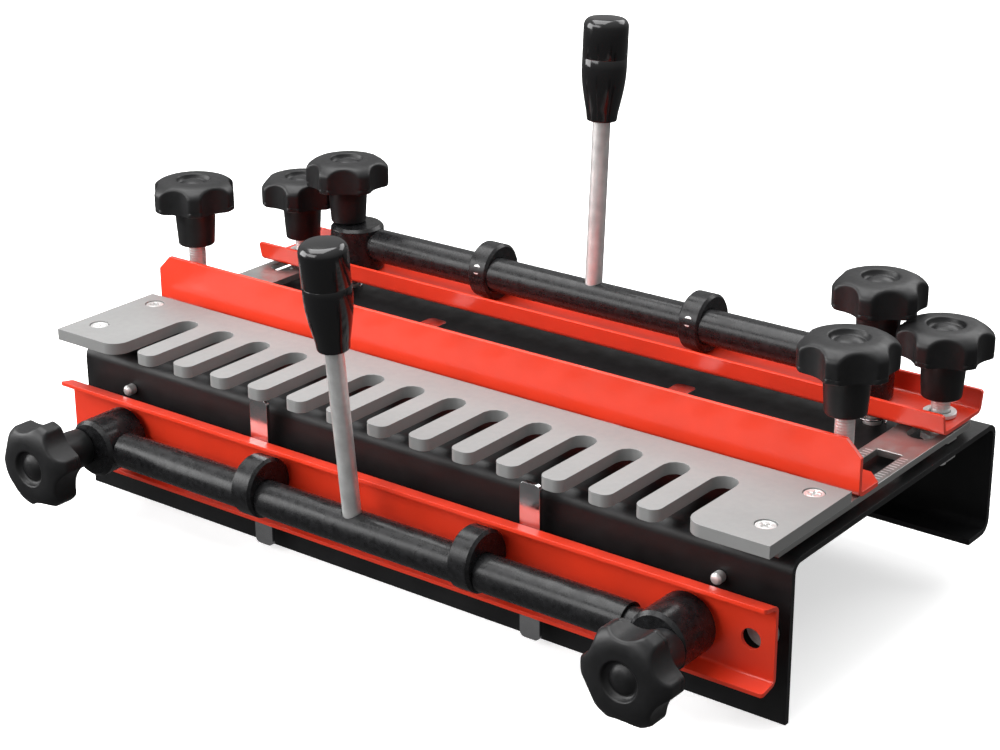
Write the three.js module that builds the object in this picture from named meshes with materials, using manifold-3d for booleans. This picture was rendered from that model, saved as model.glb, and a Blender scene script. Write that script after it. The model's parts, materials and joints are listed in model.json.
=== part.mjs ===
// Dovetail jig, in millimetres: +X to the right, +Y to the back, +Z up.
// The origin is the middle of the base's top face.
import * as THREE from "three";
import { mergeVertices } from "three/addons/utils/BufferGeometryUtils.js";
import Module from "manifold-3d";

const wasm = await Module();
wasm.setup();

// ---------- driving sizes ----------

const GAP = 0.3; // left between pieces that touch

// Template: a comb for 1/2 inch dovetails, so its pitch is 7/8 inch.
const PITCH = 22.225;
const SLOTS = 14;
const SLOT_WIDTH = 11.5;
const SLOT_DEPTH = 43.9;
const FINGER_CORNER = 4;
const END_PLATE_CORNER = 8;
const COMB_LENGTH = 376;
const COMB_DEPTH = 59.9;
const COMB_THICK = 5.3;
const COMB_FRONT = -100.15; // the comb's front edge
const TEMPLATE_TOP = 12.4; // its top face, above the base

// Base: one folded sheet, open below, with a deep front flange that hangs over a bench's edge.
const BASE_LENGTH = 377;
const BASE_DEPTH = 167.7;
const BASE_PLAIN = 220; // the middle length, which has no holes
const BASE_SHEET = 2.5;
const BASE_BEND = 5;
const FRONT_FLANGE = 69;
const REAR_FLANGE = 51.2;
const REAR_LIP = 18.2;

// Template brackets, one under each end of the comb.
const BRACKET_TOP = TEMPLATE_TOP - COMB_THICK - GAP;
const BRACKET_THICK = 3;
const BRACKET_WIDTH = 22.7;
const BRACKET_X = 175.35;
const BRACKET_FRONT = COMB_FRONT + 9;
const BRACKET_REAR = COMB_FRONT + 170;
const BRACKET_END = 10; // its rear corners' radius
const GUIDE_SLOT = { x: 175.4, width: 11.4, front: COMB_FRONT + 66, rear: COMB_FRONT + 113.6, corner: 0.4 };
const REAR_SLOT = { x: 176.5, width: 12, front: COMB_FRONT + 132.4, rear: COMB_FRONT + 166, corner: 5.9 };
const SCREW_X = 176.9;
const SCREW_ROWS = [COMB_FRONT + 15.4, COMB_FRONT + 50.5];
const SCREW_HEAD = 4.2;
const SCREW_SHANK = 2;

// Fence: an angle strip on the brackets, behind the comb.
const FENCE_LENGTH = 376;
const FENCE_FRONT = COMB_FRONT + 65.5;
const FENCE_DEPTH = 22;
const FENCE_SHEET = 2;
const FENCE_TOP = TEMPLATE_TOP + 18.1;
const FENCE_FOOT = BRACKET_TOP + GAP;
const FENCE_CHAMFER = 6.8;

const SIDES = [
  { name: "left", sign: -1 },
  { name: "right", sign: 1 },
];
const across = (row, sign) => row.middle + sign * row.x;

// M8 studs, nuts and bolts.
const THREAD = 4;
const CLEARANCE = 4.35;
const NUT_FLATS = 13;
const HEAD_HEIGHT = 5;
const REAR_SHIFT = 1.15; // the rear studs lie a little to the right of the comb's middle
const TEMPLATE_STUDS = [
  { name: "front", x: 174, middle: 0, y: COMB_FRONT + 77.2, hub: TEMPLATE_TOP + 23.4, turns: [45, 11] },
  { name: "rear", x: 176.25, middle: REAR_SHIFT, y: COMB_FRONT + 152.3, hub: TEMPLATE_TOP + 6.9, turns: [29, -1] },
];
const TEMPLATE_STUD_TOP = TEMPLATE_TOP + 28;

// Knobs: six lobes on a tapered hub.
const KNOB = {
  radius: 20,
  faceRadius: 12,
  lobes: 6,
  fluteRadius: 13.7,
  fluteCentre: 30,
  hubLength: 18,
  hubTop: 9.75,
  hubEnd: 8.5,
  height: 31.5,
  dish: 8,
  dishDepth: 2.2,
  bore: 27,
};
const INSERT = { radius: 6, length: 15 };

// Clamp bars: two channels with shallow lips. The rear one also slides on the rear template studs.
const BAR_LENGTH = 376;
const BAR_WIDTH = 36.8;
const BAR_SHEET = 1.7;
const BAR_LIP = 8;
const BAR_BEND = 2.2;
const BAR_FLARE = 1.8;
const BAR_CORNER = 1.5;

// Clamp shafts: a tube with two eccentric collars and a lever, carried by two end blocks.
const TUBE_RADIUS = 8;
const TUBE_WALL = 1.2;
const TRUNNION = 6.5;
const TRUNNION_LENGTH = 15;
const BLOCK = { radius: 13, below: 13.3, above: 8.9, chamfer: 1.5 };
const STUD_OFFSET = 5.5; // from the block's own axis out to its stud
const CAM = { x: 58.5, radius: 13.3, width: 11, throw: 4.2, chamfer: 1.2 };
const LEVER = { radius: 4, toGrip: 82.2, intoGrip: 34 };
const GRIP = { length: 46.5, foot: 6.8, widest: 10 };
const CLAMP_HUB = BLOCK.above + GAP; // the knob's hub end, out from the tube's axis
const STUD_IN_KNOB = 19;
const SPRING = { radius: 6, wire: 1.2, turns: 3 };

// Where the two clamps are. The cam angle is the throw's direction, from +Y towards +Z.
const CLAMPS = {
  front: {
    x: 156.8,
    middle: 0,
    turns: [42, 30],
    tube: [-138, 134],
    barHoles: [177.5],
    axisY: COMB_FRONT - 9.1,
    axisZ: TEMPLATE_TOP - 43.9,
    reach: 16,
    camAngle: 55.2,
    leverX: -4,
    leverAngle: 96.05,
    outward: [0, -1, 0],
  },
  rear: {
    x: 145.55,
    middle: REAR_SHIFT,
    turns: [6, 11],
    tube: [-124.6, 122],
    barHoles: SIDES.map(({ sign }) => across(TEMPLATE_STUDS[1], sign)),
    axisY: COMB_FRONT + 152,
    axisZ: TEMPLATE_TOP + 12,
    reach: 13.6,
    camAngle: 0,
    leverX: 2,
    leverAngle: 86.4,
    outward: [0, 0, 1],
  },
};

// Bright strips: two riveted behind the front bar, two under the fence.
const STRIP = { length: 69, width: 10, thick: 2, corner: 2.5 };
const BAR_STRIP_X = 73;
const FENCE_STRIP_X = 69;
const FENCE_STRIP_TOP = TEMPLATE_TOP - 7.2;
const FENCE_STRIP_REAR = COMB_FRONT + 129;

// Small fittings on the base's front.
const END_BOLT = { x: 177.5, z: TEMPLATE_TOP - 43.8, head: 7, headHeight: 2.5, washer: 8.5 };
const PIN = { x: 158, z: TEMPLATE_TOP - 27.2, radius: 2.5, height: 5, shank: 1.9 };

const paint = (color, roughness, metalness) => () =>
  new THREE.MeshStandardMaterial({ color, roughness, metalness });
const MATERIAL = {
  baseBlack: paint(0x17181a, 0.45, 0.1),
  red: paint(0xe23a20, 0.4, 0.1),
  comb: paint(0xb9b7b2, 0.6, 0.1),
  zinc: paint(0xa9abad, 0.35, 0.8),
  bright: paint(0xc8cacc, 0.2, 1),
  oxide: paint(0x1c1d20, 0.4, 0.6),
  plastic: paint(0x1b1c1e, 0.55, 0),
  grip: paint(0x0c0c0e, 0.2, 0),
  brass: paint(0xb08d4c, 0.4, 1),
};

// ---------- solids ----------

function solid(geometry) {
  const bare = new THREE.BufferGeometry();
  bare.setAttribute("position", geometry.getAttribute("position"));
  bare.setIndex(geometry.index);
  const merged = mergeVertices(bare, 1e-4);
  return new wasm.Manifold(
    new wasm.Mesh({
      numProp: 3,
      vertProperties: new Float32Array(merged.attributes.position.array),
      triVerts: new Uint32Array(merged.index.array),
    }),
  );
}

function geometryOf(shape) {
  const mesh = shape.getMesh();
  const geometry = new THREE.BufferGeometry();
  geometry.setAttribute("position", new THREE.BufferAttribute(new Float32Array(mesh.vertProperties), 3));
  geometry.setIndex(new THREE.BufferAttribute(new Uint32Array(mesh.triVerts), 1));
  geometry.computeVertexNormals();
  return geometry;
}

const joined = (first, ...others) => others.reduce((sum, other) => sum.add(other), first);
const cut = (first, ...others) => others.reduce((rest, other) => rest.subtract(other), first);
const common = (first, ...others) => others.reduce((rest, other) => rest.intersect(other), first);

const outline = (points) => new THREE.Shape(points.map(([x, y]) => new THREE.Vector2(x, y)));

function prism(shape, from, to, curveSegments = 3) {
  const settings = { depth: to - from, bevelEnabled: false, curveSegments };
  return solid(new THREE.ExtrudeGeometry(shape, settings).translate(0, 0, from));
}

// A section drawn in Y and Z, run along X and centred.
const alongX = (shape, length, middle = 0) =>
  prism(shape, middle - length / 2, middle + length / 2).rotate([90, 0, 90]);

function rounded(x0, y0, x1, y1, radius) {
  const shape = new THREE.Shape();
  shape.absarc(x1 - radius, y1 - radius, radius, 0, Math.PI / 2);
  shape.absarc(x0 + radius, y1 - radius, radius, Math.PI / 2, Math.PI);
  shape.absarc(x0 + radius, y0 + radius, radius, Math.PI, Math.PI * 1.5);
  shape.absarc(x1 - radius, y0 + radius, radius, Math.PI * 1.5, Math.PI * 2);
  return shape;
}

function rod(radius, from, to, segments = 20) {
  const cylinder = new THREE.CylinderGeometry(radius, radius, to - from, segments);
  return solid(cylinder.rotateX(Math.PI / 2).translate(0, 0, (from + to) / 2));
}

// A turned piece about Z: its profile is radius and height, from the axis at the foot to the axis at the top.
function turned(profile, segments = 36) {
  const points = profile.map(([radius, height]) => new THREE.Vector2(radius, height));
  return solid(new THREE.LatheGeometry(points, segments).rotateX(Math.PI / 2));
}

function hexagon(flats, from, to) {
  return rod(flats / Math.sqrt(3), from, to, 6);
}

const towardsFront = (shape) => shape.rotate([90, 0, 0]);

// A folded sheet's section: a centre line with rounded bends, thickened to both sides.
function foldedSheet(corners, thickness, bendRadius, segments = 5) {
  const points = corners.map(([x, y]) => new THREE.Vector2(x, y));
  const sides = { left: [], right: [] };
  const addPair = (middle, across) => {
    sides.left.push(middle.clone().addScaledVector(across, thickness / 2));
    sides.right.push(middle.clone().addScaledVector(across, -thickness / 2));
  };
  const leftOf = (along) => new THREE.Vector2(-along.y, along.x);
  points.forEach((corner, i) => {
    const before = i > 0 ? corner.clone().sub(points[i - 1]).normalize() : null;
    const after = i < points.length - 1 ? points[i + 1].clone().sub(corner).normalize() : null;
    if (!before || !after) {
      addPair(corner, leftOf(before ?? after));
      return;
    }
    const turn = Math.atan2(before.cross(after), before.dot(after));
    const side = Math.sign(turn) * bendRadius;
    const start = corner.clone().addScaledVector(before, -bendRadius * Math.tan(Math.abs(turn) / 2));
    const centre = start.addScaledVector(leftOf(before), side);
    for (let step = 0; step <= segments; step += 1) {
      const across = leftOf(before).rotateAround(new THREE.Vector2(), (turn * step) / segments);
      addPair(centre.clone().addScaledVector(across, -side), across);
    }
  });
  return new THREE.Shape([...sides.left, ...sides.right.reverse()]);
}

// ---------- pieces ----------

function baseChannel() {
  const half = BASE_SHEET / 2;
  const wall = BASE_DEPTH / 2 - half;
  const section = foldedSheet(
    [
      [-wall, -FRONT_FLANGE],
      [-wall, -half],
      [wall, -half],
      [wall, half - REAR_FLANGE],
      [BASE_DEPTH / 2 - REAR_LIP, half - REAR_FLANGE],
    ],
    BASE_SHEET,
    BASE_BEND,
  );
  const holes = [];
  const upright = (x, y) => rod(CLEARANCE, -BASE_SHEET - 1, 1).translate([x, y, 0]);
  const level = (x, z, radius = CLEARANCE) =>
    towardsFront(rod(radius, -BASE_SHEET - 1, 1)).translate([x, -BASE_DEPTH / 2, z]);
  for (const { sign } of SIDES) {
    for (const stud of TEMPLATE_STUDS) {
      holes.push(upright(across(stud, sign), stud.y));
    }
    holes.push(upright(across(CLAMPS.rear, sign), CLAMPS.rear.axisY));
    holes.push(level(across(CLAMPS.front, sign), CLAMPS.front.axisZ));
    holes.push(level(sign * END_BOLT.x, END_BOLT.z));
    holes.push(level(sign * PIN.x, PIN.z, PIN.shank + GAP));
  }
  // Its middle has no holes, and keeps faces of its own.
  const endLength = (BASE_LENGTH - BASE_PLAIN) / 2;
  const ends = SIDES.map(({ sign }) => alongX(section, endLength, (sign * (BASE_PLAIN + endLength)) / 2));
  return cut(joined(alongX(section, BASE_PLAIN), ...ends), ...holes);
}

// The outline runs along the front edge, round a finger's corner, round the slot, and out again.
function addSlot(shape, x, leftCorner, rightCorner) {
  const half = SLOT_WIDTH / 2;
  shape.lineTo(x - half - leftCorner, 0);
  shape.absarc(x - half - leftCorner, leftCorner, leftCorner, -Math.PI / 2, 0);
  shape.absarc(x, SLOT_DEPTH - half, half, Math.PI, 0, true);
  shape.absarc(x + half + rightCorner, rightCorner, rightCorner, Math.PI, Math.PI * 1.5);
}

function comb() {
  const end = COMB_LENGTH / 2;
  const shape = new THREE.Shape();
  shape.moveTo(-end, COMB_DEPTH);
  shape.lineTo(-end, 0);
  for (let i = 0; i < SLOTS; i += 1) {
    const left = i === 0 ? END_PLATE_CORNER : FINGER_CORNER;
    const right = i === SLOTS - 1 ? END_PLATE_CORNER : FINGER_CORNER;
    addSlot(shape, (i - (SLOTS - 1) / 2) * PITCH, left, right);
  }
  shape.lineTo(end, 0);
  shape.lineTo(end, COMB_DEPTH);
  const plate = prism(shape, TEMPLATE_TOP - COMB_THICK, TEMPLATE_TOP).translate([0, COMB_FRONT, 0]);
  return cut(plate, ...screwPlaces().map(([x, y]) => screwHole().translate([x, y, TEMPLATE_TOP])));
}

const screwPlaces = () => SIDES.flatMap(({ sign }) => SCREW_ROWS.map((y) => [sign * SCREW_X, y]));
const screwHole = () => joined(rod(SCREW_HEAD + GAP, -2.6, 1), rod(SCREW_SHANK + GAP, -10, 0, 16));
const screw = () => joined(rod(SCREW_HEAD, -2.3, -0.4), rod(SCREW_SHANK, -8, -1, 16));

function slotCutter(slot) {
  const half = slot.width / 2;
  const shape = rounded(-half, slot.front, half, slot.rear, slot.corner);
  return prism(shape, BRACKET_TOP - BRACKET_THICK - 1, BRACKET_TOP + 1).translate([slot.x, 0, 0]);
}

// The right-hand bracket; the left one is its mirror image.
function bracket() {
  const left = BRACKET_X - BRACKET_WIDTH / 2;
  const right = left + BRACKET_WIDTH;
  const shape = new THREE.Shape();
  shape.moveTo(left, BRACKET_FRONT);
  shape.lineTo(right, BRACKET_FRONT);
  shape.absarc(right - BRACKET_END, BRACKET_REAR - BRACKET_END, BRACKET_END, 0, Math.PI / 2);
  shape.absarc(left + BRACKET_END, BRACKET_REAR - BRACKET_END, BRACKET_END, Math.PI / 2, Math.PI);
  const plate = prism(shape, BRACKET_TOP - BRACKET_THICK, BRACKET_TOP, 5);
  const holes = SCREW_ROWS.map((y) => rod(SCREW_SHANK + GAP, 0, 20, 16).translate([SCREW_X, y, 0]));
  return cut(plate, slotCutter(GUIDE_SLOT), slotCutter(REAR_SLOT), ...holes);
}

function chamferedFace(length, low, high, chamfer) {
  const end = length / 2;
  return outline([
    [-end, low],
    [end, low],
    [end, high - chamfer],
    [end - chamfer, high],
    [chamfer - end, high],
    [-end, high - chamfer],
  ]);
}

function fence() {
  const half = FENCE_SHEET / 2;
  const rear = FENCE_FRONT + FENCE_DEPTH;
  const section = foldedSheet(
    [
      [FENCE_FRONT + half, FENCE_TOP],
      [FENCE_FRONT + half, FENCE_FOOT + half],
      [rear, FENCE_FOOT + half],
    ],
    FENCE_SHEET,
    2.5,
  );
  const upright = chamferedFace(FENCE_LENGTH, FENCE_FOOT - 1, FENCE_TOP, FENCE_CHAMFER);
  const flat = chamferedFace(FENCE_LENGTH, FENCE_FRONT - 1, rear, FENCE_CHAMFER);
  const front = towardsFront(prism(upright, -rear - 1, -FENCE_FRONT + 1));
  const plan = prism(flat, FENCE_FOOT - 1, FENCE_TOP + 1);
  const [stud] = TEMPLATE_STUDS;
  const holes = SIDES.map(({ sign }) => rod(CLEARANCE, 0, 20).translate([sign * stud.x, stud.y, 0]));
  return cut(common(alongX(section, FENCE_LENGTH), front, plan), ...holes);
}

// A stud with its jam nuts: one below the base sheet, one above it that carries the bracket.
function templateStud() {
  const shelf = BRACKET_TOP - BRACKET_THICK - GAP;
  const below = -BASE_SHEET - GAP;
  return joined(
    rod(THREAD, below - HEAD_HEIGHT - 3, TEMPLATE_STUD_TOP),
    hexagon(NUT_FLATS, below - HEAD_HEIGHT, below),
    hexagon(NUT_FLATS, GAP, shelf),
  );
}

// Lengths along the clamp's outward direction, from the base's face.
const clampHeight = (clamp) =>
  clamp.outward[2] ? clamp.axisZ : -BASE_DEPTH / 2 - clamp.axisY;

function clampStud(clamp) {
  const below = -BASE_SHEET - GAP;
  const end = clampHeight(clamp) + CLAMP_HUB + STUD_IN_KNOB;
  return joined(rod(THREAD, below - 1, end), hexagon(NUT_FLATS, below - HEAD_HEIGHT, below));
}

// Its hub's end is at zero, and its axis is Z. Its first flute is turned to firstFlute, in degrees.
function knob(boreRadius, boreLength, firstFlute) {
  const { radius, faceRadius, hubLength, hubTop, hubEnd, height, dish, dishDepth } = KNOB;
  const body = turned([
    [0, 0],
    [hubEnd - 0.8, 0],
    [hubEnd, 0.8],
    [hubTop, hubLength],
    [radius - 0.6, hubLength],
    [radius, hubLength + 0.8],
    [radius, height - 4.8],
    [radius - 1.7, height - 2.3],
    [faceRadius, height],
    [dish, height],
    [dish * 0.7, height - dishDepth],
    [0, height - dishDepth],
  ]);
  const flutes = [];
  for (let i = 0; i < KNOB.lobes; i += 1) {
    const flute = rod(KNOB.fluteRadius, hubLength - 1, height + 1, 28);
    const angle = firstFlute + (360 / KNOB.lobes) * i;
    flutes.push(flute.translate([KNOB.fluteCentre, 0, 0]).rotate([0, 0, angle]));
  }
  const thread = rod(THREAD + GAP, -1, KNOB.bore);
  return cut(body, ...flutes, rod(boreRadius, -1, boreLength), thread);
}

const insert = () => cut(rod(INSERT.radius, GAP, INSERT.length), rod(THREAD + GAP, -1, INSERT.length + 1));

const washer = () => cut(rod(7, GAP, 2), rod(CLEARANCE, -1, 3));

// The web lies below zero with its outer face at zero, and the lips point up.
function clampBar(clamp) {
  const web = -BAR_SHEET / 2;
  const tip = BAR_WIDTH / 2 - BAR_SHEET / 2;
  const foot = tip - BAR_FLARE;
  const section = foldedSheet([[-tip, BAR_LIP], [-foot, web], [foot, web], [tip, BAR_LIP]], BAR_SHEET, BAR_BEND);
  const half = BAR_LENGTH / 2;
  const face = towardsFront(prism(rounded(-half, -20, half, BAR_LIP - 0.1, BAR_CORNER), -30, 30));
  const places = [...SIDES.map(({ sign }) => across(clamp, sign)), ...clamp.barHoles];
  const holes = places.map((x) => rod(CLEARANCE, -5, 5).translate([x, 0, 0]));
  return cut(common(alongX(section, BAR_LENGTH), face), ...holes);
}

function clampTube(clamp) {
  const [from, to] = clamp.tube;
  const pipe = cut(rod(TUBE_RADIUS, from, to, 32), rod(TUBE_RADIUS - TUBE_WALL, from - 1, to + 1, 32));
  const leverHole = rod(LEVER.radius + GAP, 0, TUBE_RADIUS + 1).rotate([clamp.leverAngle - 90, 0, 0]);
  return cut(pipe.rotate([0, 90, 0]), leverHole.translate([clamp.leverX, 0, 0]));
}

// Both blocks of a clamp lie about their stud; the trunnion enters the tube.
function endBlock(sign) {
  const { radius, below, above, chamfer } = BLOCK;
  const barrel = turned([
    [0, -below],
    [radius - chamfer / 2, -below],
    [radius, -below + chamfer / 2],
    [radius, above - chamfer],
    [radius - chamfer, above],
    [0, above],
  ]);
  const trunnion = rod(TRUNNION, 0, radius + TRUNNION_LENGTH).rotate([0, -90 * sign, 0]);
  const block = joined(barrel, trunnion).translate([-sign * STUD_OFFSET, 0, 0]);
  return cut(block, rod(CLEARANCE, -below - 1, above + 1));
}

// The collar's bore is on the X axis, and its thick side is turned to the cam angle.
function camCollar(clamp) {
  const { radius, width, chamfer } = CAM;
  const half = width / 2;
  const disc = turned([
    [0, -half],
    [radius - chamfer, -half],
    [radius, chamfer - half],
    [radius, half - chamfer],
    [radius - chamfer, half],
    [0, half],
  ], 40).rotate([0, 90, 0]);
  const eccentric = disc.translate([0, CAM.throw, 0]).rotate([clamp.camAngle, 0, 0]);
  return cut(eccentric, rod(TUBE_RADIUS + GAP, -width, width, 32).rotate([0, 90, 0]));
}

const leverRod = () => rod(LEVER.radius, 0.5, LEVER.toGrip + LEVER.intoGrip);

function leverGrip() {
  const { length, foot, widest } = GRIP;
  const body = turned([
    [0, 0],
    [foot - 1, 0],
    [foot, 1],
    [widest - 0.7, length * 0.42],
    [widest, length * 0.52],
    [widest, length - 4],
    [widest - 1.2, length - 1.6],
    [widest - 3.2, length - 0.5],
    [0, length],
  ], 28).translate([0, 0, LEVER.toGrip]);
  return cut(body, rod(LEVER.radius + GAP, 0, LEVER.toGrip + LEVER.intoGrip + 1));
}

// A helix of round wire about Z, as long as the gap that it fills.
function spring(from, to) {
  const { radius, wire, turns } = SPRING;
  const rise = to - from - 2 * GAP - wire;
  class Helix extends THREE.Curve {
    getPoint(t, target = new THREE.Vector3()) {
      const angle = t * turns * 2 * Math.PI;
      const height = from + GAP + wire / 2 + t * rise;
      return target.set(radius * Math.cos(angle), radius * Math.sin(angle), height);
    }
  }
  const section = new THREE.Shape().absarc(0, 0, wire / 2, 0, Math.PI * 2);
  const settings = { steps: turns * 12, curveSegments: 3, extrudePath: new Helix() };
  return solid(new THREE.ExtrudeGeometry(section, settings));
}

// A flat strip along Y, its middle at the origin and its top at zero.
function strip() {
  const { length, width, thick, corner } = STRIP;
  return prism(rounded(-width / 2, -length / 2, width / 2, length / 2, corner), -thick, 0);
}

// The fence's strips stand off from it on a round spacer.
function fenceStrip() {
  const spacer = rod(STRIP.width / 2 - 1, -1, FENCE_FOOT - GAP - FENCE_STRIP_TOP);
  const y = FENCE_FRONT + FENCE_DEPTH - 9 - (FENCE_STRIP_REAR - STRIP.length / 2);
  return joined(strip(), spacer.translate([0, y, 0]));
}

// Its axis is Z, and zero is the base's front face.
function endBolt() {
  const { head, headHeight, washer: washerRadius } = END_BOLT;
  const inside = -BASE_SHEET - GAP;
  return joined(
    turned([[0, GAP], [head, GAP], [head, 1.2], [head * 0.7, headHeight], [0, headHeight]], 28),
    rod(THREAD, inside - 9, 1),
    rod(washerRadius, inside - 1.6, inside, 28),
    hexagon(NUT_FLATS, inside - 7.5, inside - 1.5),
  );
}

function frontPin() {
  const { radius, height, shank } = PIN;
  const dome = turned([[0, GAP], [radius, GAP], [radius, height - 1.2], [radius * 0.7, height - 0.3], [0, height]], 20);
  return joined(dome, rod(shank, -BASE_SHEET - 0.5, 1, 20));
}

// ---------- assembly ----------

const jig = new THREE.Group();

function place(name, shape, material, position = [0, 0, 0], parent = jig) {
  const mesh = new THREE.Mesh(geometryOf(shape), material());
  mesh.name = name;
  mesh.position.set(...position);
  parent.add(mesh);
  return mesh;
}

function addTemplate() {
  place("template_comb", comb(), MATERIAL.comb);
  place("template_bracket_right", bracket(), MATERIAL.zinc);
  place("template_bracket_left", bracket().mirror([1, 0, 0]), MATERIAL.zinc);
  const rows = ["front", "rear"];
  for (const { name, sign } of SIDES) {
    SCREW_ROWS.forEach((y, i) => {
      const position = [sign * SCREW_X, y, TEMPLATE_TOP];
      place(`comb_screw_${rows[i]}_${name}`, screw(), MATERIAL.zinc, position);
    });
  }
}

function addTemplateKnobs() {
  for (const stud of TEMPLATE_STUDS) {
    SIDES.forEach(({ name, sign }, i) => {
      const label = `${stud.name}_${name}`;
      const x = across(stud, sign);
      const head = knob(INSERT.radius + GAP, INSERT.length + GAP, stud.turns[i]);
      place(`template_stud_${label}`, templateStud(), MATERIAL.zinc, [x, stud.y, 0]);
      place(`template_knob_insert_${label}`, insert(), MATERIAL.brass, [x, stud.y, stud.hub]);
      place(`template_knob_${label}`, head, MATERIAL.plastic, [x, stud.y, stud.hub]);
    });
  }
}

// A clamp is drawn with outward as +Z and its tube's axis at the origin, then turned into place.
function addClamp(side, clamp) {
  const group = new THREE.Group();
  group.position.set(0, clamp.axisY, clamp.axisZ);
  group.rotation.x = clamp.outward[2] ? 0 : Math.PI / 2;
  jig.add(group);
  const quarter = clamp.outward[2] ? 0 : -90;
  const turnedBack = (shape) => shape.rotate([quarter, 0, 0]);
  const height = clampHeight(clamp);
  place(`${side}_clamp_bar`, clampBar(clamp), MATERIAL.red, [0, 0, -clamp.reach], group);
  place(`${side}_clamp_tube`, turnedBack(clampTube(clamp)), MATERIAL.oxide, [0, 0, 0], group);
  SIDES.forEach(({ name, sign }, i) => {
    const x = across(clamp, sign);
    const axis = [x, 0, 0];
    place(`${side}_clamp_stud_${name}`, clampStud(clamp), MATERIAL.zinc, [x, 0, -height], group);
    place(`${side}_clamp_block_${name}`, endBlock(sign), MATERIAL.oxide, axis, group);
    place(`${side}_clamp_spring_${name}`, spring(-height, -clamp.reach - BAR_SHEET), MATERIAL.bright, axis, group);
    const head = knob(THREAD + GAP, KNOB.bore, clamp.turns[i]);
    place(`${side}_clamp_knob_${name}`, head, MATERIAL.plastic, [x, 0, CLAMP_HUB], group);
    place(`${side}_cam_collar_${name}`, turnedBack(camCollar(clamp)), MATERIAL.oxide, [sign * CAM.x, 0, 0], group);
  });
  const lever = new THREE.Group();
  lever.position.set(clamp.leverX, 0, 0);
  lever.rotation.x = THREE.MathUtils.degToRad(clamp.leverAngle - 90 + quarter);
  group.add(lever);
  place(`${side}_lever_rod`, leverRod(), MATERIAL.zinc, [0, 0, 0], lever);
  place(`${side}_lever_grip`, leverGrip(), MATERIAL.grip, [0, 0, 0], lever);
  return group;
}

function addBarFittings(front, rear) {
  for (const { name, sign } of SIDES) {
    const behind = [sign * BAR_STRIP_X, 0, -CLAMPS.front.reach - BAR_SHEET - GAP];
    place(`front_bar_strip_${name}`, strip(), MATERIAL.bright, behind, front);
    place(`rear_bar_washer_${name}`, washer(), MATERIAL.zinc, [across(TEMPLATE_STUDS[1], sign), 0, -CLAMPS.rear.reach], rear);
  }
}

function addBaseFittings() {
  const face = -BASE_DEPTH / 2;
  for (const { name, sign } of SIDES) {
    const strips = [sign * FENCE_STRIP_X, FENCE_STRIP_REAR - STRIP.length / 2, FENCE_STRIP_TOP];
    place(`fence_strip_${name}`, fenceStrip(), MATERIAL.bright, strips);
    const bolt = [sign * END_BOLT.x, face, END_BOLT.z];
    place(`end_bolt_${name}`, towardsFront(endBolt()), MATERIAL.zinc, bolt);
    place(`front_pin_${name}`, towardsFront(frontPin()), MATERIAL.zinc, [sign * PIN.x, face, PIN.z]);
  }
}

place("base_channel", baseChannel(), MATERIAL.baseBlack);
place("template_fence", fence(), MATERIAL.red);
addTemplate();
addTemplateKnobs();
addBarFittings(addClamp("front", CLAMPS.front), addClamp("rear", CLAMPS.rear));
addBaseFittings();

export default jig;
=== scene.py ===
# Dovetail jig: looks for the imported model. Metres, +X right, +Y back, +Z up.
import json
import math

import bmesh
import bpy
from mathutils import Matrix, Vector


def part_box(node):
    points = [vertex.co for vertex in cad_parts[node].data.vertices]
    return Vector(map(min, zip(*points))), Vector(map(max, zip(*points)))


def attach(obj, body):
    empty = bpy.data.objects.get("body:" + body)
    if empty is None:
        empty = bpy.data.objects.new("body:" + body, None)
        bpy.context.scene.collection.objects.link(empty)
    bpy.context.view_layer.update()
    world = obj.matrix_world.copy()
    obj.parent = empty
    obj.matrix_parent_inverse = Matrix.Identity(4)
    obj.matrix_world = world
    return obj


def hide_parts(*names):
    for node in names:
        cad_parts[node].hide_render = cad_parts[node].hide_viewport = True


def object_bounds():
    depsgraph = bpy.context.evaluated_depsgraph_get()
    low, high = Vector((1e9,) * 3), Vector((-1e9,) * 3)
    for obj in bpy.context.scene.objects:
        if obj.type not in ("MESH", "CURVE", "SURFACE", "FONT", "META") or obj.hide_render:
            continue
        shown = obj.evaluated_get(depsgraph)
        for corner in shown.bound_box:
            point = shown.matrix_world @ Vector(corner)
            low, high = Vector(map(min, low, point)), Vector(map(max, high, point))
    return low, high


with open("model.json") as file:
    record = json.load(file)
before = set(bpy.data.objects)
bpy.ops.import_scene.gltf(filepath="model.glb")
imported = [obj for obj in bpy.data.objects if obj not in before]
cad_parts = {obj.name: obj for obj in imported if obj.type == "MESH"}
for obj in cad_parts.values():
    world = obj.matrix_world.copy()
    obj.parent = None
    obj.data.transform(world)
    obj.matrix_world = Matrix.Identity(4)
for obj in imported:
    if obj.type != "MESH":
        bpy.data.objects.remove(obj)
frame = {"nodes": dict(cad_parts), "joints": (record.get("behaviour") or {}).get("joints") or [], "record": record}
CAD_BOX = [list(corner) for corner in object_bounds()]

MM = 0.001
SIDES = ("left", "right")

# ---------- camera ----------

CAMERA_PLACE = Vector((562.7, -746.75, 371.8)) * MM
CAMERA_AZIMUTH = math.radians(37.56)
CAMERA_ELEVATION = math.radians(21.54)
CAMERA_ROLL = math.radians(-0.24)
CAMERA_LENS = 81.97
CAMERA_SENSOR = 36
CAMERA_NEAREST = 10 * MM


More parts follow.
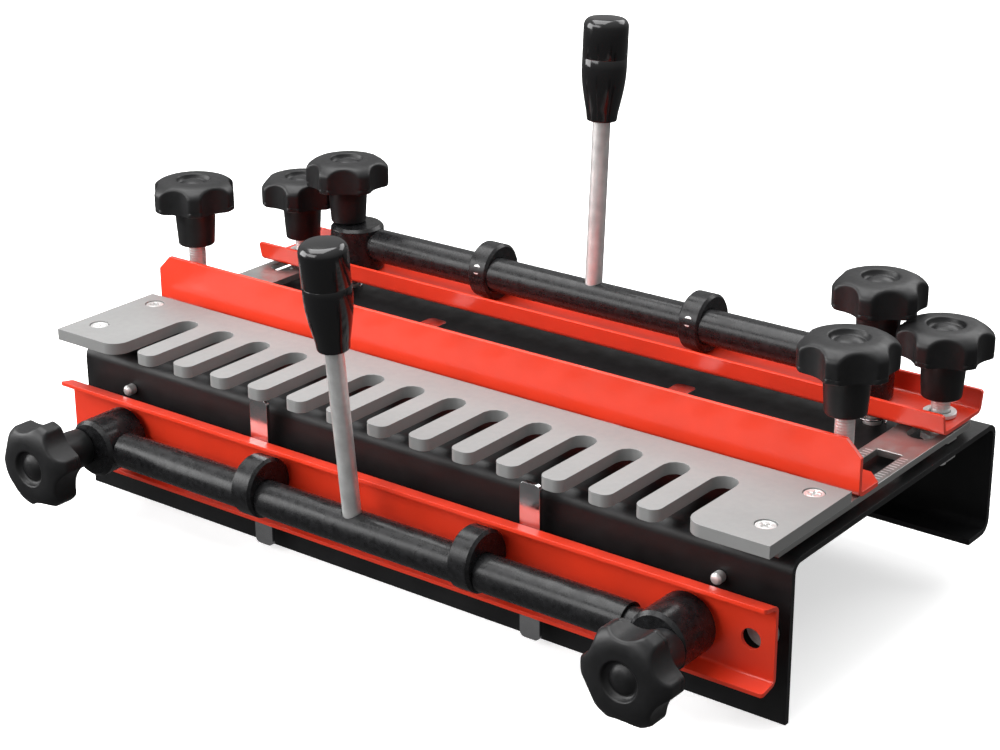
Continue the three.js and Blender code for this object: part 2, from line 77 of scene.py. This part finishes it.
def add_camera():
    data = bpy.data.cameras.new("camera")
    data.lens = CAMERA_LENS
    data.sensor_width = CAMERA_SENSOR
    data.clip_start = CAMERA_NEAREST
    camera = bpy.data.objects.new("camera", data)
    bpy.context.collection.objects.link(camera)
    turn = Matrix.Rotation(CAMERA_AZIMUTH, 4, "Z")
    tilt = Matrix.Rotation(math.pi / 2 - CAMERA_ELEVATION, 4, "X")
    roll = Matrix.Rotation(CAMERA_ROLL, 4, "Z")
    camera.matrix_world = Matrix.Translation(CAMERA_PLACE) @ turn @ tilt @ roll
    bpy.context.scene.camera = camera


add_camera()

# ---------- material building blocks ----------

COAT_ROUGHNESS = 0.16
NOISE_LOW = 0.3  # most of a noise texture lies between these two
NOISE_HIGH = 0.7


class Finish:
    """A material under construction: a Principled shader with texture nodes in object space."""

    def __init__(self, name, color, roughness, metallic=0.0, coat=0.0, specular=0.5):
        self.material = bpy.data.materials.new(name)
        self.material.use_nodes = True
        self.nodes = self.material.node_tree.nodes
        self.links = self.material.node_tree.links
        self.shader = self.nodes["Principled BSDF"]
        self.shader.inputs["Base Color"].default_value = (*color, 1)
        self.shader.inputs["Roughness"].default_value = roughness
        self.shader.inputs["Metallic"].default_value = metallic
        self.shader.inputs["Coat Weight"].default_value = coat
        self.shader.inputs["Coat Roughness"].default_value = COAT_ROUGHNESS
        self.shader.inputs["Specular IOR Level"].default_value = specular
        self.place = self.nodes.new("ShaderNodeTexCoord").outputs["Object"]
        self.normal = None

    def noise(self, scale, detail=3.0):
        node = self.nodes.new("ShaderNodeTexNoise")
        node.inputs["Scale"].default_value = scale
        node.inputs["Detail"].default_value = detail
        self.links.new(self.place, node.inputs["Vector"])
        return node.outputs["Fac"]

    def ramp(self, value, low, high, to_low, to_high):
        node = self.nodes.new("ShaderNodeMapRange")
        node.inputs["From Min"].default_value = low
        node.inputs["From Max"].default_value = high
        node.inputs["To Min"].default_value = to_low
        node.inputs["To Max"].default_value = to_high
        self.links.new(value, node.inputs["Value"])
        return node.outputs["Result"]

    def roughness(self, value, to_low, to_high):
        varied = self.ramp(value, NOISE_LOW, NOISE_HIGH, to_low, to_high)
        self.links.new(varied, self.shader.inputs["Roughness"])

    def tint(self, value, low_color, high_color, low=NOISE_LOW, high=NOISE_HIGH):
        node = self.nodes.new("ShaderNodeMix")
        node.data_type = "RGBA"
        self.links.new(self.ramp(value, low, high, 0, 1), node.inputs["Factor"])
        a, b = (s for s in node.inputs if s.type == "RGBA")
        a.default_value = (*low_color, 1)
        b.default_value = (*high_color, 1)
        out = next(s for s in node.outputs if s.type == "RGBA")
        self.links.new(out, self.shader.inputs["Base Color"])

    def compute(self, operation, a, b=None):
        node = self.nodes.new("ShaderNodeMath")
        node.operation = operation
        for socket, value in zip(node.inputs, (a, b)):
            if isinstance(value, (int, float)):
                socket.default_value = value
            elif value:
                self.links.new(value, socket)
        return node.outputs["Value"]

    def between(self, value, low, high):
        above = self.compute("GREATER_THAN", value, low)
        below = self.compute("LESS_THAN", value, high)
        return self.compute("MULTIPLY", above, below)

    def bump(self, height, strength, distance):
        """Relief on top of any that the finish already has."""
        node = self.nodes.new("ShaderNodeBump")
        node.inputs["Strength"].default_value = strength
        node.inputs["Distance"].default_value = distance
        self.links.new(height, node.inputs["Height"])
        if self.normal:
            self.links.new(self.normal, node.inputs["Normal"])
        self.normal = node.outputs["Normal"]
        self.links.new(self.normal, self.shader.inputs["Normal"])


def scaled(color, factor):
    return tuple(min(1.0, part * factor) for part in color)


# ---------- materials ----------

THREAD_PITCH = 1.25 * MM
WAVE_LENGTH = math.pi / 10  # of a wave texture's bands at scale 1
SCALE_X = 175.4 * MM  # the guide slots' middle, on both sides
SCALE_BESIDE = (6.2 * MM, 9.6 * MM)  # from there, where the lines start and end
SCALE_Y = (-12.7 * MM, 12.6 * MM)
SCALE_PITCH = 2.3 * MM
SCALE_LINE = 0.3  # a line's share of the pitch


def red_paint():
    red = (0.84, 0.046, 0.016)
    finish = Finish("red_paint", red, 0.32, coat=0.35)
    finish.tint(finish.noise(35), scaled(red, 0.93), scaled(red, 1.06))
    finish.roughness(finish.noise(60, 4), 0.28, 0.38)
    finish.bump(finish.noise(900, 2), 0.25, 0.00012)
    finish.bump(finish.noise(160, 2), 0.15, 0.0003)
    return finish.material


def base_black():
    black = (0.007, 0.007, 0.0075)
    finish = Finish("base_black", black, 0.4, specular=0.3)
    finish.tint(finish.noise(50, 5), scaled(black, 0.8), scaled(black, 1.5))
    finish.roughness(finish.noise(120, 4), 0.36, 0.5)
    finish.bump(finish.noise(1500, 3), 0.35, 0.00008)
    return finish.material


def comb_alloy():
    grey = (0.265, 0.265, 0.262)
    finish = Finish("comb_alloy", grey, 0.5, 0.2)
    finish.tint(finish.noise(45, 5), scaled(grey, 0.96), scaled(grey, 1.04))
    finish.roughness(finish.noise(300, 3), 0.5, 0.62)
    finish.bump(finish.noise(2200, 3), 0.3, 0.00005)
    return finish.material


def zinc(name="zinc", thread_axis=None):
    grey = (0.72, 0.72, 0.71)
    finish = Finish(name, grey, 0.36, 0.6)
    finish.tint(finish.noise(140, 6), scaled(grey, 0.82), scaled(grey, 1.12))
    finish.roughness(finish.noise(260, 4), 0.3, 0.46)
    finish.bump(finish.noise(700, 4), 0.2, 0.00008)
    if thread_axis:
        finish.bump(thread_rings(finish, thread_axis), 0.3, 0.0003)
    return finish.material


def thread_rings(finish, axis):
    wave = finish.nodes.new("ShaderNodeTexWave")
    wave.bands_direction = axis
    wave.inputs["Scale"].default_value = WAVE_LENGTH / THREAD_PITCH
    finish.links.new(finish.place, wave.inputs["Vector"])
    return wave.outputs["Fac"]


def bright_plate():
    silver = (0.72, 0.72, 0.73)
    finish = Finish("bright_plate", silver, 0.16, 1.0)
    finish.tint(finish.noise(80, 4), scaled(silver, 0.9), scaled(silver, 1.1))
    finish.roughness(finish.noise(200, 4), 0.12, 0.24)
    return finish.material


def black_oxide():
    black = (0.007, 0.007, 0.0075)
    finish = Finish("black_oxide", black, 0.3, specular=0.3)
    finish.tint(finish.noise(420, 5), scaled(black, 0.7), scaled(black, 2.2))
    finish.roughness(finish.noise(220, 5), 0.2, 0.34)
    finish.bump(finish.noise(1100, 4), 0.3, 0.00007)
    return finish.material


def knob_plastic():
    black = (0.008, 0.008, 0.0085)
    finish = Finish("knob_plastic", black, 0.4, specular=0.34)
    finish.tint(finish.noise(150, 5), scaled(black, 0.85), scaled(black, 1.3))
    finish.roughness(finish.noise(380, 4), 0.34, 0.46)
    finish.bump(finish.noise(1700, 3), 0.25, 0.00006)
    return finish.material


def grip_plastic():
    black = (0.006, 0.006, 0.0065)
    finish = Finish("grip_plastic", black, 0.14, specular=0.6)
    finish.roughness(finish.noise(90, 4), 0.1, 0.2)
    finish.bump(finish.noise(220, 2), 0.08, 0.0002)
    return finish.material


def brass():
    yellow = (0.72, 0.5, 0.2)
    finish = Finish("brass", yellow, 0.35, 1.0)
    finish.roughness(finish.noise(300, 3), 0.28, 0.42)
    return finish.material


def marked_zinc():
    """Zinc with a fine scale of light lines on both sides of each guide slot."""
    finish = Finish("zinc_marked", (0.56, 0.56, 0.55), 0.36, 0.9)
    parts = finish.nodes.new("ShaderNodeSeparateXYZ")
    finish.links.new(finish.place, parts.inputs["Vector"])
    across = finish.compute("ABSOLUTE", parts.outputs["X"])
    aside = finish.compute("ABSOLUTE", finish.compute("SUBTRACT", across, SCALE_X))
    beside = finish.between(aside, *SCALE_BESIDE)
    along = parts.outputs["Y"]
    inside = finish.between(along, *SCALE_Y)
    count = finish.compute("DIVIDE", finish.compute("SUBTRACT", along, SCALE_Y[0]), SCALE_PITCH)
    line = finish.compute("LESS_THAN", finish.compute("FRACT", count), SCALE_LINE)
    mark = finish.compute("MULTIPLY", finish.compute("MULTIPLY", beside, inside), line)
    finish.tint(mark, (0.45, 0.45, 0.44), (1.0, 1.0, 1.0), 0, 1)
    finish.roughness(finish.noise(220, 4), 0.28, 0.44)
    finish.bump(finish.noise(700, 4), 0.2, 0.00008)
    return finish.material


FINISHES = {
    "red_paint": red_paint(),
    "base_black": base_black(),
    "comb_alloy": comb_alloy(),
    "zinc": zinc(),
    "bright_plate": bright_plate(),
    "black_oxide": black_oxide(),
    "knob_plastic": knob_plastic(),
    "grip_plastic": grip_plastic(),
    "brass": brass(),
}
THREAD_UPRIGHT = zinc("zinc_thread_upright", "Z")
THREAD_LEVEL = zinc("zinc_thread_level", "Y")
MARKED_ZINC = marked_zinc()

# ---------- mesh building blocks ----------


def wear(piece, material):
    piece.data.materials.clear()
    piece.data.materials.append(material)


def add_piece(name, mesh, body, slot, *replaced):
    piece = bpy.data.objects.new(name, mesh)
    bpy.context.collection.objects.link(piece)
    wear(piece, FINISHES[slot])
    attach(piece, body)
    if replaced:
        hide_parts(*replaced)


def grid_mesh(name, rings, closed_ends=True):
    """A skin over rings of equally many points, with a face over each end ring."""
    shape = bmesh.new()
    rows = [[shape.verts.new(point) for point in ring] for ring in rings]
    count = len(rows[0])
    for lower, upper in zip(rows, rows[1:]):
        for i in range(count):
            j = (i + 1) % count
            shape.faces.new((lower[i], lower[j], upper[j], upper[i]))
    if closed_ends:
        shape.faces.new(list(reversed(rows[0])))
        shape.faces.new(rows[-1])
    bmesh.ops.recalc_face_normals(shape, faces=shape.faces)
    mesh = bpy.data.meshes.new(name)
    shape.to_mesh(mesh)
    shape.free()
    return mesh


def smooth(mesh, angle):
    """Smooth shading, with edges sharp where faces meet at more than the angle."""
    for face in mesh.polygons:
        face.use_smooth = True
    mesh.set_sharp_from_angle(angle=math.radians(angle))


def soften(piece, width, angle):
    bevel = piece.modifiers.new("edges", "BEVEL")
    bevel.width = width
    bevel.segments = 2
    bevel.limit_method = "ANGLE"
    bevel.angle_limit = math.radians(angle)
    bevel.use_clamp_overlap = True
    even = piece.modifiers.new("even", "WEIGHTED_NORMAL")
    even.keep_sharp = True


def turned_rings(profile, count, radius_at=None):
    """A ring about Z for each radius and height. radius_at may pull it in where it is cut away."""
    rings = []
    for radius, height in profile:
        ring = []
        for i in range(count):
            angle = 2 * math.pi * i / count
            reach = radius_at(radius, angle) if radius_at else radius
            ring.append(Vector((reach * math.cos(angle), reach * math.sin(angle), height)))
        rings.append(ring)
    return rings


def moved(rings, matrix):
    return [[matrix @ point for point in ring] for ring in rings]


def middle_of(node):
    low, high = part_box(node)
    return (Vector(low) + Vector(high)) / 2


def arc(centre, radius, start, end, steps):
    """Points of radius and height on an arc, in degrees, both ends included."""
    points = []
    for i in range(steps + 1):
        angle = math.radians(start + (end - start) * i / steps)
        points.append((centre[0] + radius * math.cos(angle), centre[1] + radius * math.sin(angle)))
    return points


# ---------- knobs ----------

KNOB_RADIUS = 20 * MM
KNOB_HEIGHT = 31.5 * MM
KNOB_HUB = 18 * MM
KNOB_LOBES = 6
FLUTE_RADIUS = 13.7 * MM
FLUTE_CENTRE = 30 * MM
FLUTE_BLEND = 0.9 * MM
KNOB_DISH = 8 * MM
KNOB_NECK = 10.4 * MM  # what lies within it isn't fluted
KNOB_RING = 192
# The first flute's direction in degrees, as each knob happens to have been left.
FIRST_FLUTE = {
    "template_knob_front_left": 45,
    "template_knob_front_right": 11,
    "template_knob_rear_left": 29,
    "template_knob_rear_right": -1,
    "rear_clamp_knob_left": 6,
    "rear_clamp_knob_right": 11,
    "front_clamp_knob_left": 42,
    "front_clamp_knob_right": 30,
}


def knob_profile():
    """From the hub's foot over the lobes and down into the dish, with a low boss in its middle."""
    rim = KNOB_HEIGHT
    foot = KNOB_HUB
    side = KNOB_RADIUS
    # the hub, which widens towards the lobes
    points = [(5.5 * MM, 0.0), (7.6 * MM, 0.0)]
    points += arc((7.7 * MM, 0.8 * MM), 0.8 * MM, -60, 0, 3)
    points += [(8.8 * MM, 5 * MM), (9.2 * MM, 11 * MM), (9.6 * MM, foot - 0.8 * MM)]
    # the lobes' underside and lower edge
    points += [(10.3 * MM, foot), (14 * MM, foot), (side - 1.1 * MM, foot)]
    points += arc((side - 0.9 * MM, foot + 0.9 * MM), 0.85 * MM, -60, 0, 3)
    # the side, with the mould's parting groove
    points += [(side - 0.03 * MM, foot + 2.2 * MM), (side - 0.22 * MM, foot + 2.35 * MM)]
    points += [(side, foot + 2.5 * MM), (side, foot + 4.5 * MM)]
    points += [(side, rim - 6.2 * MM), (side, rim - 5 * MM)]
    # the shoulder, rounded towards the flat ring round the dish
    points += [(19.8 * MM, rim - 4.3 * MM), (19.4 * MM, rim - 3.6 * MM), (18.9 * MM, rim - 3 * MM)]
    points += [(18.3 * MM, rim - 2.4 * MM), (17.4 * MM, rim - 1.75 * MM), (16.5 * MM, rim - 1.2 * MM)]
    points += [(15.3 * MM, rim - 0.72 * MM), (14 * MM, rim - 0.35 * MM), (12.7 * MM, rim - 0.1 * MM)]
    points += [(11.5 * MM, rim), (KNOB_DISH + 1.2 * MM, rim)]
    # the dish and its boss
    points += arc((KNOB_DISH + 0.7 * MM, rim - 0.8 * MM), 0.8 * MM, 80, 165, 4)
    points += [(KNOB_DISH - 0.5 * MM, rim - 1.7 * MM), (KNOB_DISH - 1.2 * MM, rim - 2.35 * MM)]
    points += [(6.2 * MM, rim - 2.5 * MM), (5.6 * MM, rim - 2.2 * MM), (4.6 * MM, rim - 1.5 * MM)]
    points += [(3.4 * MM, rim - 0.95 * MM), (2.1 * MM, rim - 0.65 * MM), (1 * MM, rim - 0.52 * MM)]
    points += [(0.3 * MM, rim - 0.5 * MM)]
    return points


def flute_reach(angle):
    """How far out the material goes in this direction before a flute."""
    step = 2 * math.pi / KNOB_LOBES
    off = (angle + step / 2) % step - step / 2
    across = FLUTE_CENTRE * math.sin(off)
    if abs(across) >= FLUTE_RADIUS:
        return 2 * KNOB_RADIUS
    return FLUTE_CENTRE * math.cos(off) - math.sqrt(FLUTE_RADIUS**2 - across**2)


def soft_least(a, b, blend):
    """The smaller of two lengths, rounded over where they are alike."""
    gap = max(0.0, blend - abs(a - b)) / blend
    return min(a, b) - gap * gap * blend / 4


def knob_mesh(name, matrix):
    """A turned knob with its flutes pulled in, from the hub's foot along Z."""

    def pulled(radius, angle):
        if radius < KNOB_NECK:
            return radius
        return soft_least(radius, flute_reach(angle), FLUTE_BLEND)

    rings = turned_rings(knob_profile(), KNOB_RING, pulled)
    mesh = grid_mesh(name, moved(rings, matrix))
    smooth(mesh, 50)
    return mesh


def add_knobs():
    """The front clamp's knobs point forward, the others up."""
    turning = {joint["name"]: joint.get("pos_m") for joint in frame["joints"]}
    for node in sorted(frame["nodes"]):
        if "_knob_" not in node or "insert" in node:
            continue
        low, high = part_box(node)
        axis = Vector(turning[node + "_turn"])
        if node.startswith("front_clamp"):
            place = Matrix.Translation((axis.x, high[1], axis.z)) @ Matrix.Rotation(math.pi / 2, 4, "X")
        else:
            place = Matrix.Translation((axis.x, axis.y, low[2]))
        turn = Matrix.Rotation(math.radians(FIRST_FLUTE[node]), 4, "Z")
        mesh = knob_mesh(node + "_head", place @ turn)
        add_piece(node + "_head", mesh, node + "_body", "knob_plastic", node)


# ---------- lever grips ----------

GRIP_RING = 64
GRIP_START = 82.2 * MM
GRIP_LENGTH = 46.4 * MM
GRIP_FOOT = 6.8 * MM
GRIP_WIDEST = 10 * MM
GRIP_BORE = 4.6 * MM
GRIP_EDGE = 0.7 * MM
GRIP_SWELL = (0.04, 0.52)  # shares of the length between which the grip widens
GRIP_STEPS = 12
CROWN_WIDTH = 3.6 * MM
CROWN_HEIGHT = 3.8 * MM
CROWN_FOOT = 4.4 * MM  # below the top
CROWN_STEPS = 9
LEVER_LEAN = {"front": math.radians(6.05), "rear": math.radians(-3.6)}


def grip_profile():
    """From the foot over the swell, a fine parting groove and the rounded crown to the top's middle."""
    length = GRIP_LENGTH
    foot = GRIP_FOOT
    rise = GRIP_WIDEST - foot
    low, high = GRIP_SWELL
    points = [(GRIP_BORE, 0.0), (foot - GRIP_EDGE, 0.0)]
    points += arc((foot - GRIP_EDGE, GRIP_EDGE), GRIP_EDGE, -60, 0, 3)
    for i in range(1, GRIP_STEPS + 1):
        share = i / GRIP_STEPS
        swell = math.sin(share * math.pi / 2) ** 1.1
        points.append((foot + rise * swell, (low + (high - low) * share) * length))
    points += [(GRIP_WIDEST, 0.6 * length), (GRIP_WIDEST - 0.12 * MM, 0.605 * length)]
    points += [(GRIP_WIDEST, 0.61 * length), (GRIP_WIDEST, length - 5 * MM)]
    for i in range(CROWN_STEPS + 1):
        turn = math.radians(8 + 76 * i / CROWN_STEPS)
        radius = GRIP_WIDEST - CROWN_WIDTH * (1 - math.cos(turn))
        points.append((radius, length - CROWN_FOOT + CROWN_HEIGHT * math.sin(turn)))
    points += [(4.6 * MM, length - 0.3 * MM), (2.4 * MM, length - 0.08 * MM), (0.4 * MM, length)]
    return points


def add_grips():
    """Each grip lies along its lever, which leans from upright about the tube's middle."""
    for side, lean in LEVER_LEAN.items():
        rod = middle_of(side + "_lever_rod")
        tube = middle_of(side + "_clamp_tube")
        turn = Matrix.Rotation(lean, 4, "X")
        up = Matrix.Translation((0, 0, GRIP_START))
        place = Matrix.Translation((rod.x, tube.y, tube.z)) @ turn @ up
        rings = turned_rings(grip_profile(), GRIP_RING)
        mesh = grid_mesh(side + "_grip", moved(rings, place))
        smooth(mesh, 40)
        add_piece(side + "_grip", mesh, side + "_cam_shaft", "grip_plastic", side + "_lever_grip")


# ---------- comb screws ----------

SCREW_HEAD = 4.2 * MM
SCREW_SHANK = 2 * MM
SCREW_RING = 96
SCREW_TOP_STEPS = 18  # rings across the top, fine enough for the cross
CROSS_REACH = 2.4 * MM
CROSS_HALF = 0.55 * MM
CROSS_DEPTH = 1.2 * MM
SCREW_TURNS = (25, 70, 50, 10)  # degrees, as each screw was left


def screw_profile(length):
    """From the shank's tip up to the middle of the head's flat top, which is at zero."""
    points = [(0.4 * MM, -length), (SCREW_SHANK, -length), (SCREW_SHANK, -2.2 * MM), (SCREW_HEAD, -1.8 * MM)]
    points += arc((SCREW_HEAD - 0.35 * MM, -0.35 * MM), 0.35 * MM, 0, 90, 4)
    points += [(3.3 * MM, 0.0), (3.15 * MM, -0.12 * MM), (3.0 * MM, 0.0)]
    step = 2.7 * MM / SCREW_TOP_STEPS
    points += [(2.8 * MM - i * step, 0.0) for i in range(SCREW_TOP_STEPS + 1)]
    return points


def cross_depth(point):
    """How deep the cross recess is at a point of the head's top, with sloping sides."""
    narrow = min(abs(point.x), abs(point.y))
    wide = max(abs(point.x), abs(point.y))
    inside = min(1.0, max(0.0, (CROSS_HALF - narrow) / (0.25 * MM) + 0.5))
    along = min(1.0, max(0.0, (CROSS_REACH - wide) / (0.4 * MM)))
    return CROSS_DEPTH * inside * along


def add_screws():
    places = [(row, side) for row in ("front", "rear") for side in SIDES]
    for (row, side), turn in zip(places, SCREW_TURNS):
        node = f"comb_screw_{row}_{side}"
        low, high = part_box(node)
        rings = turned_rings(screw_profile(high[2] - low[2]), SCREW_RING)
        for ring in rings[-(SCREW_TOP_STEPS + 1):]:
            for point in ring:
                point.z -= cross_depth(point)
        top = middle_of(node)
        top.z = high[2]
        place = Matrix.Translation(top) @ Matrix.Rotation(math.radians(turn), 4, "Z")
        mesh = grid_mesh(node + "_cross", moved(rings, place))
        smooth(mesh, 40)
        add_piece(node + "_cross", mesh, "template", "zinc", node)


# ---------- set screws in the rear collars ----------

SET_RADIUS = 2.4 * MM
SET_LENGTH = 2.4 * MM
SET_SUNK = 0.1 * MM  # how far its face's middle lies below the collar's surface
SET_RING = 32
SET_TURN = math.radians(74)  # from straight up, towards the front


def set_screw_profile():
    """From the inner end up to the middle of its socket. The outer face is at zero."""
    points = [(0.3 * MM, -SET_LENGTH), (SET_RADIUS, -SET_LENGTH), (SET_RADIUS, -0.3 * MM)]
    points += arc((SET_RADIUS - 0.3 * MM, -0.3 * MM), 0.3 * MM, 10, 90, 3)
    points += [(1.1 * MM, 0.0), (1.0 * MM, -0.1 * MM), (0.8 * MM, -0.7 * MM), (0.2 * MM, -0.8 * MM)]
    return points


def add_set_screws():
    for side in SIDES:
        collar = "rear_cam_collar_" + side
        low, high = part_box(collar)
        reach = (high[2] - low[2]) / 2 - SET_SUNK
        turn = Matrix.Rotation(SET_TURN, 4, "X")
        place = Matrix.Translation(middle_of(collar)) @ turn @ Matrix.Translation((0, 0, reach))
        rings = turned_rings(set_screw_profile(), SET_RING)
        mesh = grid_mesh("set_screw_" + side, moved(rings, place))
        smooth(mesh, 40)
        add_piece("set_screw_" + side, mesh, "rear_cam_shaft", "zinc")


# ---------- carried-over CAD nodes ----------

EDGE = 0.2 * MM  # the bevel of nodes that aren't named below
SOFT_EDGES = {
    "base_channel": 0.5 * MM,
    "template_fence": 0.35 * MM,
    "front_clamp_bar": 0.35 * MM,
    "rear_clamp_bar": 0.35 * MM,
    "template_comb": 0.5 * MM,
    "template_bracket_left": 0.25 * MM,
    "template_bracket_right": 0.25 * MM,
}
SHARP_ANGLE = 32  # degrees
FLAT_ANGLE = math.radians(0.3)
WELD_REACH = 0.01 * MM


def finish_of(name, slot):
    if "stud" in name:
        return THREAD_LEVEL if name.startswith("front_clamp") else THREAD_UPRIGHT
    if "bracket" in name:
        return MARKED_ZINC
    return FINISHES[slot]


def dress_nodes():
    """Every CAD node gets its finish, clean faces and softened edges."""
    slots = {part["node"]: part["material_slot"] for part in frame["record"]["subparts"]}
    for name, node in frame["nodes"].items():
        wear(node, finish_of(name, slots[name]))
        smooth(node.data, SHARP_ANGLE)
        weld = node.modifiers.new("weld", "WELD")
        weld.merge_threshold = WELD_REACH
        flatten = node.modifiers.new("flatten", "DECIMATE")
        flatten.decimate_type = "DISSOLVE"
        flatten.angle_limit = FLAT_ANGLE
        soften(node, SOFT_EDGES.get(name, EDGE), SHARP_ANGLE)


# ---------- floor and light ----------

FLOOR_SIZE = 6.0  # from the middle to each side
FLOOR_HEIGHT = CAD_BOX[0][2] - 0.2 * MM
FLOOR_COLOR = (0.93, 0.93, 0.93)
FLOOR_GLOW = 0.55
WALL_RADIUS = 5.0
WALL_TOP = 5.0
WALL_RING = 128
WALL_COLOR = (0, 0, 0)
WALL_GLOW = 1.0
WORLD_STRENGTHS = (0.12, 0.75)
WORLD_HEIGHTS = (-0.25, 0.9)  # where these are reached, on a sphere of radius 1
# Each light's place, its width and height, and its power in watts. All point at the object.
LIGHTS = {
    "key": ((-0.4, -0.1, 1.6), (1.8, 1.4), 38),
    "left_fill": ((-1.5, -0.9, 0.55), (1.2, 1.1), 26),
    "front_fill": ((-0.5, -1.6, 0.9), (1.2, 0.8), 14),
    "rear_rim": ((0.3, 1.5, 1.2), (1.6, 0.8), 14),
}
LIGHT_AIM = Vector((0, 0, 0.02))


def add_stage(name, mesh, color, glow):
    """A glowing matt surface that lights nothing and shows in no reflection."""
    surface = bpy.data.objects.new(name, mesh)
    bpy.context.collection.objects.link(surface)
    finish = Finish(name + "_white", color, 0.9)
    finish.shader.inputs["Emission Color"].default_value = (1, 1, 1, 1)
    finish.shader.inputs["Emission Strength"].default_value = glow
    wear(surface, finish.material)
    surface.visible_diffuse = False
    surface.visible_glossy = False
    return surface


def add_floor():
    mesh = bpy.data.meshes.new("floor")
    signs = ((-1, -1), (1, -1), (1, 1), (-1, 1))
    corners = [(x * FLOOR_SIZE, y * FLOOR_SIZE, FLOOR_HEIGHT) for x, y in signs]
    mesh.from_pydata(corners, [], [(0, 1, 2, 3)])
    add_stage("floor", mesh, FLOOR_COLOR, FLOOR_GLOW)


def add_backdrop():
    """A pale wall all around, which only the camera sees."""
    rings = turned_rings([(WALL_RADIUS, FLOOR_HEIGHT), (WALL_RADIUS, WALL_TOP)], WALL_RING)
    mesh = grid_mesh("backdrop", rings, closed_ends=False)
    wall = add_stage("backdrop", mesh, WALL_COLOR, WALL_GLOW)
    wall.visible_shadow = False


def add_light(name, place, size, power):
    data = bpy.data.lights.new(name, "AREA")
    data.shape = "RECTANGLE"
    data.size, data.size_y = size
    data.energy = power
    light = bpy.data.objects.new(name, data)
    bpy.context.collection.objects.link(light)
    turn = (LIGHT_AIM - Vector(place)).to_track_quat("-Z", "Y")
    light.matrix_world = Matrix.Translation(place) @ turn.to_matrix().to_4x4()


def add_world():
    """A studio that is bright overhead and dark towards the floor."""
    world = bpy.data.worlds.new("studio")
    world.use_nodes = True
    nodes = world.node_tree.nodes
    links = world.node_tree.links
    place = nodes.new("ShaderNodeTexCoord").outputs["Generated"]
    parts = nodes.new("ShaderNodeSeparateXYZ")
    links.new(place, parts.inputs["Vector"])
    rise = nodes.new("ShaderNodeMapRange")
    rise.inputs["From Min"].default_value = WORLD_HEIGHTS[0]
    rise.inputs["From Max"].default_value = WORLD_HEIGHTS[1]
    rise.inputs["To Min"].default_value = WORLD_STRENGTHS[0]
    rise.inputs["To Max"].default_value = WORLD_STRENGTHS[1]
    links.new(parts.outputs["Z"], rise.inputs["Value"])
    background = nodes["Background"]
    background.inputs["Color"].default_value = (1, 1, 1, 1)
    links.new(rise.outputs["Result"], background.inputs["Strength"])
    bpy.context.scene.world = world


add_knobs()
add_grips()
add_screws()
add_set_screws()
dress_nodes()
add_floor()
add_backdrop()
add_world()
for name, (place, size, power) in LIGHTS.items():
    add_light(name, place, size, power)
bpy.context.scene.view_settings.view_transform = "Standard"
